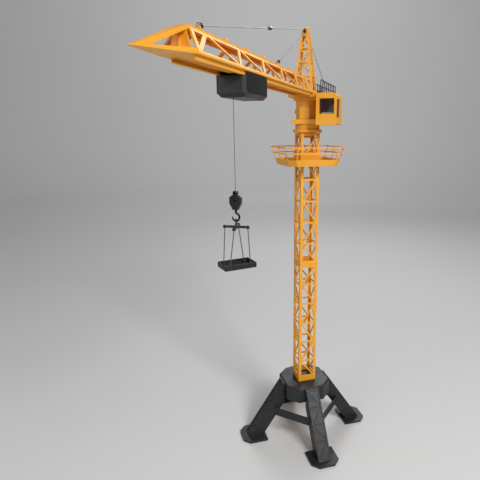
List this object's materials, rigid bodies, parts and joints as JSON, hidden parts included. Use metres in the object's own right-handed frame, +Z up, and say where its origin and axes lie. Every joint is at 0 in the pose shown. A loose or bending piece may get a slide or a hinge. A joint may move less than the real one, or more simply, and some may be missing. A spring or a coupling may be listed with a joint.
{
  "type": "toy tower crane",
  "caption": "Toy tower crane with a four-legged base, lattice mast, gallery, cabin, slewing jib with cable stays, and a motor trolley that lifts a slung loading tray.",
  "frame": {"origin": "on the ground, on the mast's axis, at the middle of the four pads", "axes": "+Z up along the mast; +Y away from the front leg, whose pad lies on -Y; the jib rests turned 33.96 degrees clockwise from -Y, seen from above, so it points to -X-Y"},
  "size_m": [0.707, 1.0065, 1.2754],
  "materials": {
    "black_plastic": "black satin plastic of the base, mast foot and ties",
    "mast_orange": "orange-yellow satin moulded plastic",
    "trolley_black": "dark grey-black satin plastic",
    "panel_black": "gloss black side panel",
    "fitting_steel": "bright nickel-plated steel",
    "screw_steel": "zinc-plated steel",
    "fitting_black": "black ferrules and cap fitting",
    "cable_grey": "fine twisted grey cable",
    "rope_black": "dark twisted cord",
    "cabin_glass": "dark tinted clear plastic",
    "seat_grey": "mid grey plastic",
    "console_white": "white plastic",
    "gear_nylon": "off-white nylon",
    "motor_steel": "pressed steel motor can",
    "board_green": "green circuit board",
    "battery_case": "plain blue battery sleeve",
    "weight_grey": "dark grey weight"
  },
  "bodies": {
    "tower": {"base_hub": "black_plastic", "base_hub_cover": "mast_orange", "base_screws": "screw_steel", "leg_front": "black_plastic", "leg_right": "black_plastic", "leg_back": "black_plastic", "leg_left": "black_plastic", "leg_tie_bars": "black_plastic", "mast_foot": "black_plastic", "mast_lower_section": "mast_orange", "mast_upper_section": "mast_orange", "gallery_floor": "mast_orange", "gallery_railing": "mast_orange", "slew_base": "mast_orange", "slew_gear": "gear_nylon", "slew_screw": "screw_steel"},
    "upper_works": {"turret_housing": "mast_orange", "turret_top_plate": "mast_orange", "battery_cover": "mast_orange", "batteries": "battery_case", "slew_gearmotor": "motor_steel", "circuit_board": "board_green", "cabin_shell": "mast_orange", "cabin_windows": "cabin_glass", "cabin_seat": "seat_grey", "cabin_console": "console_white", "tower_head": "mast_orange", "tower_head_cap": "mast_orange", "jib_deck": "mast_orange", "jib_side_left": "mast_orange", "jib_side_right": "mast_orange", "jib_top_plate": "mast_orange", "jib_nose": "mast_orange", "trolley_rack": "mast_orange", "jib_pendants": "cable_grey", "counter_jib_pendant": "cable_grey", "pendant_ferrules": "fitting_black", "pendant_hooks": "fitting_steel", "pendant_turnbuckle": "fitting_steel", "counter_jib_deck": "trolley_black", "counter_jib_railings": "trolley_black", "counterweight": "weight_grey"},
    "slew_drive": {"slew_pinion": "gear_nylon"},
    "switch": {"power_switch": "panel_black"},
    "trolley": {"trolley_shell_left": "trolley_black", "trolley_shell_right": "trolley_black", "trolley_side_panels": "panel_black", "trolley_screws": "screw_steel", "trolley_saddle": "trolley_black", "travel_gearmotor": "motor_steel", "hoist_gearmotor": "motor_steel", "hoist_rope": "rope_black"},
    "travel_drive": {"travel_pinion": "gear_nylon"},
    "drum": {"hoist_drum": "gear_nylon"},
    "hook_block": {"hook_block_front": "trolley_black", "hook_block_rear": "trolley_black"},
    "hook": {"crane_hook": "panel_black"},
    "sling_set": {"spreader": "trolley_black", "slings": "rope_black", "loading_tray": "trolley_black"}
  },
  "joints": [
    {"name": "slew", "type": "hinge", "parent": "tower", "child": "upper_works", "pos_m": [0, 0, 1.017], "axis": [0, 0, 1], "range_deg": [-340, 340]},
    {"name": "slew_drive_turn", "type": "hinge", "parent": "upper_works", "child": "slew_drive", "pos_m": [0.0107, 0.01588, 1.025], "axis": [0, 0, 1], "continuous": true},
    {"name": "switch_slide", "type": "slide", "parent": "upper_works", "child": "switch", "axis": [0, 0, 1], "range_m": [0, 0.003]},
    {"name": "trolley_travel", "type": "slide", "parent": "upper_works", "child": "trolley", "axis": [-0.5586, -0.8294, 0], "range_m": [-0.32, 0.1]},
    {"name": "travel_drive_turn", "type": "hinge", "parent": "trolley", "child": "travel_drive", "pos_m": [-0.27204, -0.40393, 1.0854], "axis": [0.8294, -0.5586, 0], "continuous": true},
    {"name": "hoist", "type": "slide", "parent": "trolley", "child": "hook_block", "axis": [0, 0, 1], "range_m": [-0.72, 0.15], "deforming": ["hoist_rope"]},
    {"name": "drum_turn", "type": "hinge", "parent": "trolley", "child": "drum", "pos_m": [-0.31282, -0.46448, 1.07], "axis": [0.8294, -0.5586, 0], "continuous": true},
    {"name": "hook_swivel", "type": "hinge", "parent": "hook_block", "child": "hook", "pos_m": [-0.31654, -0.46999, 0.85], "axis": [0, 0, 1], "continuous": true},
    {"name": "sling_swing", "type": "hinge", "parent": "hook", "child": "sling_set", "pos_m": [-0.31654, -0.46999, 0.833], "axis": [0.8294, -0.5586, 0], "range_deg": [-25, 25]}
  ],
  "couplings": [
    {"joint": "slew_drive_turn", "follows": "slew", "ratio": 2.8},
    {"joint": "travel_drive_turn", "follows": "trolley_travel", "rad_per_m": -83.333},
    {"joint": "drum_turn", "follows": "hoist", "rad_per_m": -150.38}
  ]
}
